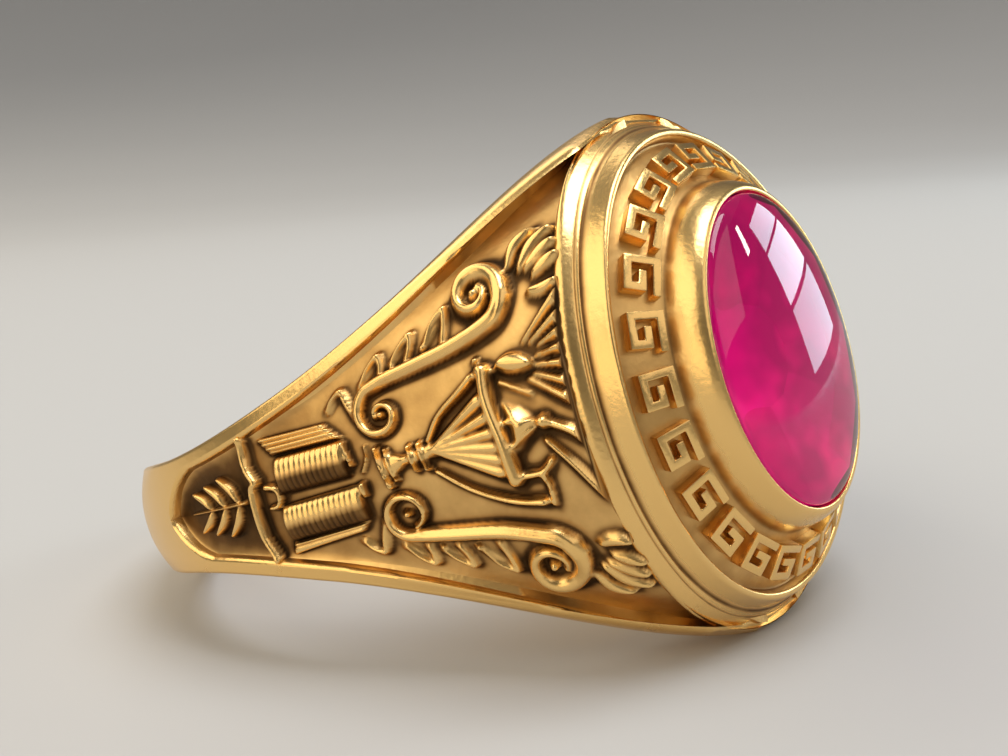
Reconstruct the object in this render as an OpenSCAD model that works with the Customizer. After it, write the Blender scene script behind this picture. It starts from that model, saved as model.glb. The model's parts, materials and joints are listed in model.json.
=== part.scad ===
// A cast class ring with an oval domed stone, lying on its side.
// The solids are laid out about the finger's axis: X runs from the finger's
// centre to the head, Y across the shoulders and Z along the finger. The whole
// ring is then tilted, so that the edge of the head and the edge of the band
// both touch the surface that it lies on.

/* [Band] */
// Radius of the finger hole
bore_r = 9.7; // [8.5:0.1:9.8]
// Radius of the polished borders at the middle of the width
band_r = 11.6; // [11.5:0.1:12.2]
// Half the width of the band under the finger
band_half = 1.85; // [1.6:0.05:2.4]
// Radius of the cross section's roundness over the width
crown_r = 8.6; // [8.55:0.05:9.2]
// Angle from the head to where the flat shoulder meets the round band
shoulder_angle = 69.3; // [67:0.1:71]
// Distance from the finger's axis where the band starts to widen
flare_start = -2.1; // [-3:0.1:-1]
// Radius of the curve by which the band widens
flare_r = 18.4; // [17.5:0.1:20]
// Thickness of the band under the finger
palm_thick = 1.3; // [1.2:0.05:1.5]
// Radius of the band's rounder cross section under the finger
palm_crown_r = 4; // [3.8:0.1:5]

/* [Shoulder field] */
// Depth of the recessed field below the polished borders
field_drop = 0.5; // [0.3:0.05:0.6]
// Width of each polished border
border_w = 0.6; // [0.5:0.05:0.8]
// Distance from the finger's axis to the point of the field
field_point = 1.6; // [1.2:0.05:2]
// Height of fine relief such as rays and leaves
low_relief = 0.22; // [0.15:0.01:0.3]
// Height of scrolls and lines of the lamp
mid_relief = 0.38; // [0.3:0.01:0.45]
// Height of the book and the lamp's bowl
high_relief = 0.55; // [0.45:0.01:0.65]

/* [Bezel] */
// Height of the bezel's rim above the finger's centre
rim_height = 13.35; // [13.2:0.05:13.6]
// Half the rim's length along the finger
rim_half = 7.35; // [7.1:0.05:7.4]
// Width of the rim's oval as a share of its length
rim_ratio = 0.865; // [0.85:0.005:0.88]
// Height of the lip that holds the stone
lip_height = 14.9; // [14.8:0.05:15.2]
// Number of key ornaments round the channel
key_count = 24; // [20:1:24]
// Height of the key ornaments above the channel's floor
key_relief = 0.38; // [0.2:0.02:0.45]

/* [Stone] */
// Half the stone's length at its girdle
stone_half = 5; // [4.95:0.01:5.02]
// Width of the stone as a share of its length
stone_ratio = 0.81; // [0.8:0.01:0.82]
// Height of the dome above the lip
dome_rise = 0.75; // [0.4:0.05:1.2]
// Depth of the cut underside below the girdle
pavilion_depth = 1.9; // [1.4:0.1:2.0]
// Gap between the stone and the metal
stone_gap = 0.05; // [0.03:0.01:0.08]

/* [Hidden] */
$fn = 96;

field_r = band_r - field_drop;
crown_offset = band_r - crown_r;
shelf_height = 12.1;
shelf_half = crown_r - 0.3;
deep = 30;
seam_step = 0.01;
// Length by which a shape runs on into the one that it joins
overlap = 0.3;
// Unit of the bezel's small mouldings, the reach of the ridge round its foot, and
// how deep the drum is rooted in the head
bead = 0.1;
ridge_half = 8.2;
drum_root = 1.1;
// The band's back is a torus whose centre lies this far toward the head
palm_shift = 1.1;
palm_reach = bore_r + palm_thick + palm_shift;
// Half the thickness of metal round the middle plane that no recess enters
middle_half = 2.6;

// Step back under the lip, and the thickness of the metal over it
lip_hold = 0.16;
lip_thick = 0.32;
seat_top = lip_height - lip_thick;
girdle_thick = 0.55;
girdle_top = seat_top - stone_gap;
girdle_bottom = girdle_top - girdle_thick;
dome_half = stone_half - lip_hold - stone_gap;
// The channel's floor between the rim and the collar
channel_out = rim_half - 3 * bead;
channel_in = stone_half + bead;
facet_count = 12;
table_r = 1.5;

// The ring lies on two edges: where the shelf's side begins at the head, and the
// side of the palm. Its tilt, height and place follow from where these are.
head_edge = flare_start + sqrt(pow(flare_r, 2) - pow(flare_r + band_half - shelf_half, 2));
palm_edge = palm_reach - palm_shift - palm_crown_r + sqrt(pow(palm_crown_r, 2) - pow(band_half, 2));
lie_angle = atan((shelf_half - band_half) / (head_edge + palm_edge));
axis_height = shelf_half * cos(lie_angle) - head_edge * sin(lie_angle);
front_reach = lip_height * cos(lie_angle) + norm([dome_rise * cos(lie_angle), dome_half * sin(lie_angle)]);
back_reach = (palm_reach - palm_shift - palm_crown_r) * cos(lie_angle) + palm_crown_r;
axis_shift = (back_reach - front_reach) / 2;

// A stroke that narrows from width a to width b along a list of points
function along(p, i) = p[min(i + 1, len(p) - 1)] - p[max(i - 1, 0)];
function across(p, i) = let (d = along(p, i)) [-d.y, d.x] / norm(d);
function half_at(p, i, a, b) = (a + (b - a) * i / (len(p) - 1)) / 2;
function stroke(p, a, b) = concat(
    [for (i = [0 : len(p) - 1]) p[i] + half_at(p, i, a, b) * across(p, i)],
    [for (i = [len(p) - 1 : -1 : 0]) p[i] - half_at(p, i, a, b) * across(p, i)]);
function flip(p) = [for (q = p) [q.x, -q.y]];

// A pointed petal from one point to another, with its widest place at a share of its length
function petal(from, to, width, belly) = let (d = to - from, n = [-d.y, d.x] / norm(d), m = from + belly * d)
    [from, m - width / 2 * n, to, m + width / 2 * n];

// Drawings of the relief: the first number runs up the shoulder toward the head,
// the second along the finger. The upper half is given, and the lower half mirrors it.
scroll = [[6.85, 3.95], [6.55, 3.7], [6.2, 3.8], [6.05, 4.2], [6.2, 4.6], [6.65, 4.85], [7.15, 4.7],
    [7.45, 4.3], [7.5, 3.8], [7.3, 3.35], [6.85, 3], [6.2, 2.7], [5.4, 2.5], [4.7, 2.42], [3.9, 2.35],
    [3.1, 2.15], [2.6, 1.8], [2.42, 1.35], [2.6, 0.98], [3, 0.85], [3.4, 1], [3.55, 1.35], [3.3, 1.6]];
leaves = [[[5.1, 2.75], [5.5, 4]], [[3.95, 2.65], [4.4, 3.55]], [[2.85, 2.4], [3.3, 3.1]],
    [[5.7, 2.85], [6, 3.5]]];
palmette = [[8.1, 6.2], [8.6, 5.9], [8.95, 5.4], [9.15, 4.75], [9.2, 4.1]];
palmette_root = [7.65, 4.55];
ray_ends = [3.4, 2.85, 2.35, 1.9, 1.45, 0.95, 0.4];
ray_reach = 9.05;
flame_heart = [7.75, 1.87];
flame = [[6.95, 1.95], [7.25, 2.2], [7.7, 2.15], [8.15, 1.85], [7.7, 1.6], [7.2, 1.65]];
bowl = [[4.35, 0.2], [5.3, 0.85], [6.4, 1.5], [6.62, -1.1], [5.4, -0.75], [4.35, -0.3]];
lid = [[6.65, 0.85], [7.3, 0.5], [7.75, 0.25], [7.75, -0.05], [7.3, -0.3], [6.75, -0.75]];
spout = [[4.4, 0.5], [5.2, 1.05], [6.1, 1.75], [6.9, 1.95]];
lamp_rim = [[6.4, 1.65], [6.55, 0.9], [6.65, 0], [6.7, -1.2]];
lamp_handle = [[6.65, -1.2], [7.1, -1.25], [7.5, -1.2], [7.45, -1.7], [7.3, -2.2]];
lamp_foot_line = [[4.35, -0.5], [5.3, -1.35], [6.2, -1.8], [7.1, -2.1]];
long_lines = [[[8.1, -0.1], [8.9, -0.85]], [[7.7, -0.35], [9, -2.6]]];
stem_rings = [[3.55, 0.2, 0.4], [3.92, 0.2, 0.42]];
foot_block = [[2.55, 0.5], [3.3, 0.5], [3.3, -0.5], [2.55, -0.5]];
page = [[-0.62, 0.06], [-0.62, 1.2], [1.95, 1.12], [2.1, 0.1]];
page_edges = [[-1.2, 1.3], [-0.95, 1.68], [1.1, 1.72], [1.85, 1.2]];
brace = [[-1.5, -1.7], [-1.7, -1.2], [-1.75, -0.5], [-1.5, 0], [-1.75, 0.5], [-1.85, 1.1], [-1.75, 1.65]];
end_leaves = [[[-2.4, 0.1], [-3.9, 0.75]], [[-2.4, 0], [-5, 0]], [[-2.4, -0.1], [-3.9, -0.75]]];

module scroll_pair_2d() {
    for (side = [1, -1]) polygon(side > 0 ? stroke(scroll, 0.3, 0.24) : flip(stroke(scroll, 0.3, 0.24)));
}

module fine_relief_2d() {
    for (side = [1, -1]) scale([1, side]) {
        for (leaf = leaves) polygon(petal(leaf[0], leaf[1], 0.42, 0.45));
        for (tip = palmette) polygon(petal(palmette_root, tip, 0.42, 0.65));
        translate(palmette_root) circle(0.16);
        polygon(page_edges);
    }
    for (y = ray_ends) polygon(stroke([flame_heart, [ray_reach, y]], 0.06, 0.2));
    for (line = long_lines) polygon(stroke(line, 0.14, 0.2));
    for (leaf = end_leaves) polygon(petal(leaf[0], leaf[1], 0.5, 0.5));
}

module line_relief_2d() {
    scroll_pair_2d();
    polygon(flame);
    polygon(lid);
    polygon(stroke(spout, 0.16, 0.24));
    polygon(stroke(lamp_handle, 0.22, 0.16));
    polygon(stroke(lamp_foot_line, 0.14, 0.2));
    polygon(stroke(brace, 0.22, 0.22));
}

module bold_relief_2d() {
    polygon(bowl);
    polygon(stroke(lamp_rim, 0.24, 0.24));
    polygon(foot_block);
    for (ring = stem_rings) translate([ring[0], -ring[2]]) square([ring[1], 2 * ring[2]]);
    polygon(page);
    polygon(flip(page));
}

// The metal's outer form at a given radius, without its side faces
module crown_2d(r) {
    round_r = crown_r - (band_r - r);
    intersection() {
        union() {
            translate([crown_offset, 0]) circle(round_r);
            translate([-deep, -shelf_half]) square([deep + crown_offset, 2 * shelf_half]);
        }
        translate([-deep, -shelf_half]) square([2 * deep, 2 * shelf_half]);
    }
}

module round_band(r) {
    rotate_extrude() intersection() {
        translate([crown_offset, 0]) circle(crown_r - (band_r - r));
        translate([bore_r - palm_thick, -shelf_half]) square([deep, 2 * shelf_half]);
    }
}

module shoulder_slab(r) {
    rotate([0, 0, -shoulder_angle]) rotate([90, 0, 0])
        linear_extrude(height = 2 * deep, center = true) crown_2d(r + seam_step);
}

module head_block(r) {
    reach = 2 * deep;
    intersection() {
        shoulder_slab(r);
        mirror([0, 1, 0]) shoulder_slab(r);
        linear_extrude(height = deep, center = true) polygon([[0, 0],
            [reach * cos(shoulder_angle), -reach * sin(shoulder_angle)], [reach, -reach], [reach, reach],
            [reach * cos(shoulder_angle), reach * sin(shoulder_angle)]]);
    }
}

module form(r) {
    round_band(r);
    head_block(r);
}

// Everything but the metal that the band's thinner, rounder back leaves out
module palm_shape() {
    translate([palm_shift, 0, 0]) rotate_extrude() {
        translate([palm_reach - palm_crown_r, 0]) circle(palm_crown_r);
        translate([0, -palm_crown_r]) square([palm_reach - palm_crown_r, 2 * palm_crown_r]);
    }
    translate([flare_start, -deep, -deep]) cube(2 * deep);
}

// The outline seen across the shoulders, drawn in by an inset from each side face
module side_outline_2d(inset) {
    half = band_half - inset;
    difference() {
        translate([-deep, -shelf_half]) square([deep + shelf_height, 2 * shelf_half]);
        for (side = [1, -1]) scale([1, side]) {
            translate([flare_start, band_half + flare_r]) circle(flare_r + inset);
            translate([-2 * deep, half]) square([2 * deep + flare_start + overlap, deep]);
        }
    }
}

module field_outline_2d() {
    start = 0.9;
    half = 1.5;
    run = start + field_point;
    arc_r = (run * run + half * half) / (2 * half);
    intersection() {
        side_outline_2d(border_w);
        union() {
            intersection_for(side = [1, -1]) translate([start, side * (arc_r - half)]) circle(arc_r);
            translate([start, -deep]) square([2 * deep, 2 * deep]);
        }
    }
}

// A drawing in the side view, cut through the metal across the shoulders
module through_sides(length) {
    rotate([90, 0, 0]) linear_extrude(height = length, center = true) children();
}

// The near shoulder, or its mirror image on the far side
module each_shoulder() {
    children();
    mirror([0, 1, 0]) children();
}

module recess() {
    difference() {
        translate([0, -middle_half - deep / 2, 0]) through_sides(deep) field_outline_2d();
        form(field_r);
    }
}

// A relief drawing raised from the field to a given height, rounded with the form
module raised(height) {
    root = field_r - 0.9;
    intersection() {
        rotate([0, 0, -shoulder_angle]) translate([root - crown_r / 2, 0, 0])
            rotate([90, 0, 90]) linear_extrude(height = crown_r) children();
        form(field_r + height);
        translate([0, -middle_half - deep / 2, 0]) through_sides(deep) side_outline_2d(border_w / 2);
    }
}

module shoulder_relief() {
    raised(low_relief) fine_relief_2d();
    raised(mid_relief) line_relief_2d();
    raised(high_relief) bold_relief_2d();
}

// The bezel stands on the head with its own axis along X
module on_head() {
    rotate([0, 90, 0]) children();
}

module bezel_drum() {
    on_head() scale([1, rim_ratio, 1]) rotate_extrude() polygon([
        [0, shelf_height - drum_root], [rim_half - bead, shelf_height - drum_root],
        [ridge_half - 0.5 * bead, shelf_height], [ridge_half, shelf_height + 1.5 * bead],
        [ridge_half - bead, shelf_height + 4 * bead], [ridge_half - 3.8 * bead, shelf_height + 6.2 * bead],
        [ridge_half - 5 * bead, shelf_height + 5.8 * bead], [ridge_half - 5.5 * bead, shelf_height + 6.8 * bead],
        [rim_half + bead, rim_height - bead], [rim_half, rim_height], [rim_half - 1.5 * bead, rim_height],
        [channel_out, rim_height - 4 * bead], [channel_in, rim_height + 7 * bead],
        [0, rim_height + 7 * bead]]);
}

module collar() {
    lip_half = stone_half - lip_hold;
    on_head() scale([1, stone_ratio, 1]) rotate_extrude() polygon([
        [0, rim_height - 5.5 * bead], [stone_half + 6 * bead, rim_height - 5.5 * bead],
        [stone_half + 5.2 * bead, rim_height + bead], [stone_half + 4 * bead, lip_height - 8 * bead],
        [stone_half + 1.5 * bead, lip_height - 2.5 * bead], [lip_half + 1.2 * bead, lip_height],
        [lip_half, lip_height], [lip_half, lip_height - bead], [0, lip_height - bead]]);
}

// One key of the channel's ornament, with its hook turned inward
module key_2d() {
    polygon([[-0.52, -0.5], [0.52, -0.5], [0.52, 0.5], [-0.42, 0.5], [-0.42, -0.12], [0.14, -0.12], [0.14, 0.1],
        [-0.2, 0.1], [-0.2, 0.28], [0.3, 0.28], [0.3, -0.28], [-0.52, -0.28]]);
}

module key_ring() {
    mid_r = (channel_in + channel_out + 1.6 * bead) / 2;
    across_r = channel_out - channel_in;
    rise = 11 * bead;
    slope = atan(rise / across_r);
    size = norm([across_r, rise]) / 2;
    for (i = [0 : key_count - 1]) {
        turn = 360 * i / key_count;
        spot = [mid_r * cos(turn), mid_r * rim_ratio * sin(turn)];
        out = atan2(sin(turn), rim_ratio * cos(turn));
        on_head() translate([spot.x, spot.y, rim_height + bead]) rotate([0, 0, out - 90])
            rotate([-slope, 0, 0]) translate([0, 0, -overlap])
                linear_extrude(height = key_relief + overlap) scale(size) key_2d();
    }
}

module oval_plug(half, ratio, low, high) {
    on_head() translate([0, 0, low]) scale([1, ratio, 1]) cylinder(r = half, h = high - low);
}

// The stone's cut underside in two steps down to its table, or the well that clears it
module pavilion(grow) {
    table = girdle_bottom - pavilion_depth;
    step = girdle_bottom - 0.5 * pavilion_depth;
    top_r = stone_half - 0.4 + grow;
    rotate_extrude() polygon([[0, table], [table_r + grow, table], [0.72 * stone_half + grow, step],
        [top_r, girdle_bottom], [top_r, girdle_bottom + overlap], [0, girdle_bottom + overlap]]);
}

// The seat that the stone drops into, and the well for its cut underside
module stone_pocket() {
    hold = stone_half + stone_gap;
    oval_plug(stone_half - lip_hold, stone_ratio, girdle_bottom, lip_height + lip_thick);
    oval_plug(hold, stone_ratio, girdle_bottom - stone_gap, seat_top);
    on_head() scale([1, stone_ratio, 1]) translate([0, 0, -stone_gap]) pavilion(stone_gap);
}

module as_it_lies() {
    translate([axis_shift, 0, axis_height]) rotate([0, -lie_angle, 0]) children();
}

module ring_body() {
    color("goldenrod") as_it_lies() difference() {
        union() {
            difference() {
                intersection() {
                    form(band_r);
                    through_sides(2 * deep) side_outline_2d(0);
                    palm_shape();
                }
                each_shoulder() recess();
            }
            each_shoulder() shoulder_relief();
            bezel_drum();
            collar();
            key_ring();
        }
        stone_pocket();
        cylinder(r = bore_r, h = 2 * deep, center = true);
    }
}

module stone() {
    color("mediumvioletred") as_it_lies() on_head() scale([1, stone_ratio, 1]) union() {
        translate([0, 0, girdle_bottom]) cylinder(r = stone_half, h = girdle_thick);
        translate([0, 0, girdle_bottom]) cylinder(r = dome_half, h = lip_height - girdle_bottom);
        translate([0, 0, lip_height]) intersection() {
            scale([1, 1, dome_rise / dome_half]) sphere(dome_half);
            translate([0, 0, deep / 2]) cube(deep, center = true);
        }
        pavilion(0, $fn = facet_count);
    }
}

ring_body();
stone();
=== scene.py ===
import json
import math

import bmesh
import bpy
import numpy as np
from mathutils import Matrix, Vector


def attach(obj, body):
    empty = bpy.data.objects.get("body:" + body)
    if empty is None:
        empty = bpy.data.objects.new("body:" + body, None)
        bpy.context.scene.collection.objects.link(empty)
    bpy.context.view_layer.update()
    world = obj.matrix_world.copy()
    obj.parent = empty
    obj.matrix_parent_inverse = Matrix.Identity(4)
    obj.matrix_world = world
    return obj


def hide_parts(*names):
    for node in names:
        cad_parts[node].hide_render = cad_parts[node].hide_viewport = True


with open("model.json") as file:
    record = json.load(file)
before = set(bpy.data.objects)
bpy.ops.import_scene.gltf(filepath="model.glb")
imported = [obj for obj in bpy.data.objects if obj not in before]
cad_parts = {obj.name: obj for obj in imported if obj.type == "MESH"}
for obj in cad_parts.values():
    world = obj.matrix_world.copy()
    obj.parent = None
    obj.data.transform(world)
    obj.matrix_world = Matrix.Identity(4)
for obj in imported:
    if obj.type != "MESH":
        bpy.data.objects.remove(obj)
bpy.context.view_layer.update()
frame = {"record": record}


# Band and borders
# One casting of yellow gold. The band is round behind the finger and runs flat and
# wide up both shoulders to the head. A polished border follows each side of it and
# closes in a pointed arch at the palm, round a field that is sunk for the relief.
MM = 0.001
finger = frame["record"]["mounts"][0]
finger_at = Vector(finger["pos_m"])
finger_axis = Vector(finger["axis"])
LEAN = math.atan2(-finger_axis.x, finger_axis.z)
BORE_R = finger["dims"]["r_mm"]

# Sizes in millimetres, measured from the finger's axis
BORDER_R = 11.6
CROWN_R = 8.6
CROWN_AT = BORDER_R - CROWN_R
FLAT_FROM = math.radians(69.3)
PALM_HALF = 1.85
FLARE_FROM = -2.1
FLARE_R = 18.4
SHELF = 12.1
SHELF_HALF = 8.3
# The flare passes into the head's width in a rounded corner, which takes a little off both
CORNER = 0.3
CORNER_LOSS = 0.004
PALM_THICK = 1.3
PALM_CROWN_R = 4.0
PALM_SHIFT = 1.1
FIELD_DROP = 0.5
BORDER_W = 0.6
FIELD_POINT = 1.6
ARCH_START = 0.9
ARCH_HALF = 1.5
# Turns in degrees between which the borders close in their arch, and are drawn finer
ARCH_TURNS = (84, 99)

# The band's own floor lies below the relief's. Up to a turn in radians from the head it
# stays a margin inside the ring's sides. From its foot the wall rises to a drop below
# the border's polished metal.
FLOOR_BELOW = 0.1
FLOOR_MARGIN = 0.3
HEAD_TURN = 0.7
FOOT_WIDTH = 0.45
FOOT_SHARE = 0.8
WALL_SLOPE = 0.02
WALL_DROP = 0.34
LEAST_BORDER = 0.2
# How the border rounds over from the wall: the step away from it, the drop below the
# polished metal, and how dark the finish is
BORDER_EDGE = ((0, 0.3, 0.25), (0.02, 0.2, 0.15), (0.06, 0.11, 0.05), (0.11, 0.04, 0), (0.18, 0, 0))
# The outer edge is rounded more under the head, up to the first of two turns in radians,
# than past the second
BEVEL_TURNS = (0.62, 0.95)
BEVEL_WIDTHS = (0.34, 0.14)
BORE_ROUND = 0.12


def lay_down(points):
    """Points given from the finger's axis, in millimetres toward the head, across and
    along the finger, placed as the ring lies, in metres."""
    u, v, w = np.moveaxis(np.asarray(points, float), -1, 0)
    x = u * math.cos(LEAN) - w * math.sin(LEAN)
    z = u * math.sin(LEAN) + w * math.cos(LEAN)
    return np.stack([x, v, z], -1) * MM + np.array(finger_at)


def half_width(u, inset=0.0):
    """Half the ring's width at a distance toward the head: the flare up the shoulder, which
    passes into the head's width."""
    run = np.clip(u - FLARE_FROM, 0, FLARE_R - 0.01)
    wide = PALM_HALF + FLARE_R - np.sqrt((FLARE_R + inset) ** 2 - run ** 2)
    most = SHELF_HALF - inset
    return (wide + most - np.sqrt((wide - most) ** 2 + CORNER ** 2)) / 2 + CORNER_LOSS


def field_half(u, grow=0.0):
    """Half the sunk field's width at a distance toward the head, zero past its point."""
    side = half_width(u, BORDER_W - grow)
    run = ARCH_START + FIELD_POINT
    arch_r = (run * run + ARCH_HALF ** 2) / (2 * ARCH_HALF)
    back = np.clip(ARCH_START - u, 0, None)
    arch = ARCH_HALF - arch_r + np.sqrt(np.maximum((arch_r + grow) ** 2 - back ** 2, 0))
    return np.where(u < ARCH_START, np.maximum(np.minimum(side, arch), 0), side)


def crown(w, sunk=0.0):
    """Height of the rounded cross section, at a place across its width."""
    return CROWN_AT + np.sqrt(np.maximum((CROWN_R - sunk) ** 2 - w ** 2, 1e-4))


def skin(angle, w, sunk=0.0):
    """Distance from the finger's axis to the polished metal, or to a depth below it."""
    flat = crown(w, sunk) / np.cos(np.minimum(angle - FLAT_FROM, 0))
    shelf = SHELF / np.maximum(np.cos(angle), 0.2)
    r = np.where(angle < math.radians(60), np.minimum(flat, shelf), flat)
    palm = BORE_R + PALM_THICK + PALM_SHIFT - PALM_CROWN_R
    palm = palm + np.sqrt(np.maximum(PALM_CROWN_R ** 2 - w ** 2, 0))
    palm = PALM_SHIFT * np.cos(angle) + np.sqrt(palm ** 2 - (PALM_SHIFT * np.sin(angle)) ** 2)
    return np.where(r * np.cos(angle) < FLARE_FROM, np.minimum(r, palm - sunk), r)


def solve(too_wide, low, high):
    """Bisection, for many unknowns at once."""
    for _ in range(40):
        middle = (low + high) / 2
        wide = too_wide(middle)
        high = np.where(wide, middle, high)
        low = np.where(wide, low, middle)
    return (low + high) / 2


# Points nearer to each other than this, in metres, are made one
WELD = 2e-7


def cast_piece(name, points, faces, patina_and_shade=None, smooth_under=40.0):
    """A closed mesh object from laid-down points, whose faces point outward. A number at
    each point, from 0 to 1, says how dark the patina and the painted shade make it there."""
    mesh = bpy.data.meshes.new(name)
    mesh.from_pydata(points.reshape(-1, 3).tolist(), [], faces)
    if patina_and_shade is not None:
        mesh.attributes.new("patina_and_shade", "FLOAT", "POINT").data.foreach_set("value", np.ravel(patina_and_shade))
    bm = bmesh.new()
    bm.from_mesh(mesh)
    bmesh.ops.remove_doubles(bm, verts=bm.verts, dist=WELD)
    bmesh.ops.dissolve_degenerate(bm, edges=bm.edges, dist=WELD)
    bmesh.ops.recalc_face_normals(bm, faces=bm.faces)
    if bm.calc_volume(signed=True) < 0:
        bmesh.ops.reverse_faces(bm, faces=bm.faces)
    bm.to_mesh(mesh)
    bm.free()
    mesh.polygons.foreach_set("use_smooth", [True] * len(mesh.polygons))
    mesh.set_sharp_from_angle(angle=math.radians(smooth_under))
    piece = bpy.data.objects.new(name, mesh)
    bpy.context.scene.collection.objects.link(piece)
    return piece


def grid_faces(rows, columns, wrap_rows=False, wrap_columns=False):
    """Faces between points that are numbered row by row, closed round where they wrap."""
    faces = []
    for i in range(rows if wrap_rows else rows - 1):
        k = (i + 1) % rows
        for j in range(columns if wrap_columns else columns - 1):
            n = (j + 1) % columns
            faces.append((i * columns + j, i * columns + n, k * columns + n, k * columns + j))
    return faces


def band():
    """Rings of points round the cross section: from the middle of the field over its wall,
    the border and the side, into the finger hole, and mirrored back."""
    first, last = ARCH_TURNS
    half = np.concatenate([np.arange(0, first, 1.0), np.arange(first, last, 0.25), np.arange(last, 180, 1.5)])
    turn = np.radians(np.concatenate([half, [180], 360 - half[:0:-1]]))
    angle = np.minimum(turn, 2 * math.pi - turn)
    full = np.full_like(angle, CROWN_R - 0.1)
    edge = solve(lambda w: w > half_width(skin(angle, w) * np.cos(angle)), 0 * full, full)
    inner = solve(lambda w: w > field_half(skin(angle, w) * np.cos(angle)), 0 * full, full)
    inner = np.where(inner < 1e-3, 0, np.minimum(inner, edge - LEAST_BORDER))
    sunk = inner > 0
    floor = np.where(sunk, FIELD_DROP + FLOOR_BELOW, 0)
    bevel = np.interp(angle, BEVEL_TURNS, BEVEL_WIDTHS)

    def floor_at(w):
        """The sunk floor, kept inside the ring's sides where they close in under the head."""
        flare = np.clip(PALM_HALF + FLARE_R - np.minimum(w + FLOOR_MARGIN, SHELF_HALF), 0, FLARE_R)
        least = (FLARE_FROM + np.sqrt(FLARE_R ** 2 - flare ** 2)) / np.cos(np.minimum(angle, 1))
        sunken = skin(angle, w, floor)
        return np.where(angle < HEAD_TURN, np.clip(least, sunken, skin(angle, w)), sunken)

    loop = []
    for share in np.linspace(0, 1, 5)[:-1]:
        loop.append((floor_at(inner * share), inner * share, 0.5 * sunk))
    foot = np.maximum(inner - FOOT_WIDTH, FOOT_SHARE * inner)
    loop.append((floor_at(foot), foot, 0.3 * sunk))
    wall = inner - np.minimum(inner, WALL_SLOPE)
    loop.append((np.maximum(floor_at(wall), skin(angle, wall) - WALL_DROP * sunk), wall, 0.25 * sunk))
    top = edge - bevel
    for step, drop, dark in BORDER_EDGE:
        w = np.minimum(inner + np.where(sunk, step, 0), top)
        polished = skin(angle, w)
        loop.append((np.where(sunk, np.maximum(polished - drop, floor_at(w)), polished), w, dark * sunk))
    start = loop[-1][1]
    for share in (0.15, 0.3, 0.45, 0.6, 0.75, 0.9, 1):
        w = start + (top - start) * share
        loop.append((skin(angle, w), w, 0))
    top_r, side_r = skin(angle, top), skin(angle, edge)
    for share in (0.2, 0.5, 0.8, 1):
        bend = share * math.pi / 2
        loop.append((top_r + (side_r - bevel - top_r) * (1 - math.cos(bend)), top + bevel * math.sin(bend), 0))
    low_r = np.full_like(side_r, BORE_R + BORE_ROUND)
    for share in (0.25, 0.5, 0.75, 1):
        r = (side_r - bevel) * (1 - share) + low_r * share
        loop.append((r, np.minimum(half_width(r * np.cos(angle)), edge), 0.12))
    bore_half = np.minimum(half_width(BORE_R * np.cos(angle)), edge)
    for share in (0.4, 0.8):
        loop.append((BORE_R + BORE_ROUND * (1 - share) ** 2, bore_half - BORE_ROUND * share, 0.05))
    for share in (0, 0.2, 0.4, 0.6, 0.8, 1):
        loop.append((BORE_R, (bore_half - BORE_ROUND) * (1 - share), 0.1))
    upper = [[np.broadcast_to(value, angle.shape) for value in row] for row in loop]
    ring = upper + [[r, -w, dark] for r, w, dark in upper[-2:0:-1]]
    r, w, dark = (np.stack([row[k] for row in ring], 1) for k in range(3))
    points = np.stack([r * np.cos(turn)[:, None], -r * np.sin(turn)[:, None], w], -1)
    return cast_piece("band", lay_down(points), grid_faces(len(turn), len(ring), True, True), dark, 34)


def linked(tree, kind, place=(0, 0), **settings):
    node = tree.nodes.new(kind)
    node.location = place
    for key, value in settings.items():
        setattr(node, key, value)
    return node


def clouded(tree, where, scale, detail, place):
    """Soft random patches over the piece, at a scale in waves for each metre."""
    clouds = linked(tree, "ShaderNodeTexNoise", place)
    clouds.inputs["Scale"].default_value = scale
    clouds.inputs["Detail"].default_value = detail
    tree.links.new(where.outputs["Object"], clouds.inputs["Vector"])
    return clouds.outputs["Fac"]


def ranged(tree, amount, low, high, place):
    """An amount from 0 to 1, spread from a low value to a high one."""
    spread = linked(tree, "ShaderNodeMapRange", place)
    spread.inputs["To Min"].default_value = low
    spread.inputs["To Max"].default_value = high
    tree.links.new(amount, spread.inputs["Value"])
    return spread.outputs["Result"]


def shaded(tree, amount, shades, place):
    """Colours blended by an amount, from pairs of an amount and its colour."""
    colour = linked(tree, "ShaderNodeValToRGB", place)
    ramp = colour.color_ramp.elements
    ramp[0].position, ramp[0].color = shades[0]
    ramp[1].position, ramp[1].color = shades[-1]
    for at, shade in shades[1:-1]:
        ramp.new(at).color = shade
    tree.links.new(amount, colour.inputs["Fac"])
    return colour.outputs["Color"]


# Colours of the gold from its polished parts to its deepest recesses and darkest painted shade
GOLD_SHADES = (
    (0.0, (0.90, 0.58, 0.21, 1)),
    (0.22, (0.80, 0.50, 0.18, 1)),
    (0.5, (0.48, 0.27, 0.09, 1)),
    (0.75, (0.18, 0.09, 0.03, 1)),
    (1.0, (0.045, 0.024, 0.010, 1)),
)
PATCH_SCALE = 900
GRAIN_SCALE = 5200
PIT_DEPTH = 0.03 * MM


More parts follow.
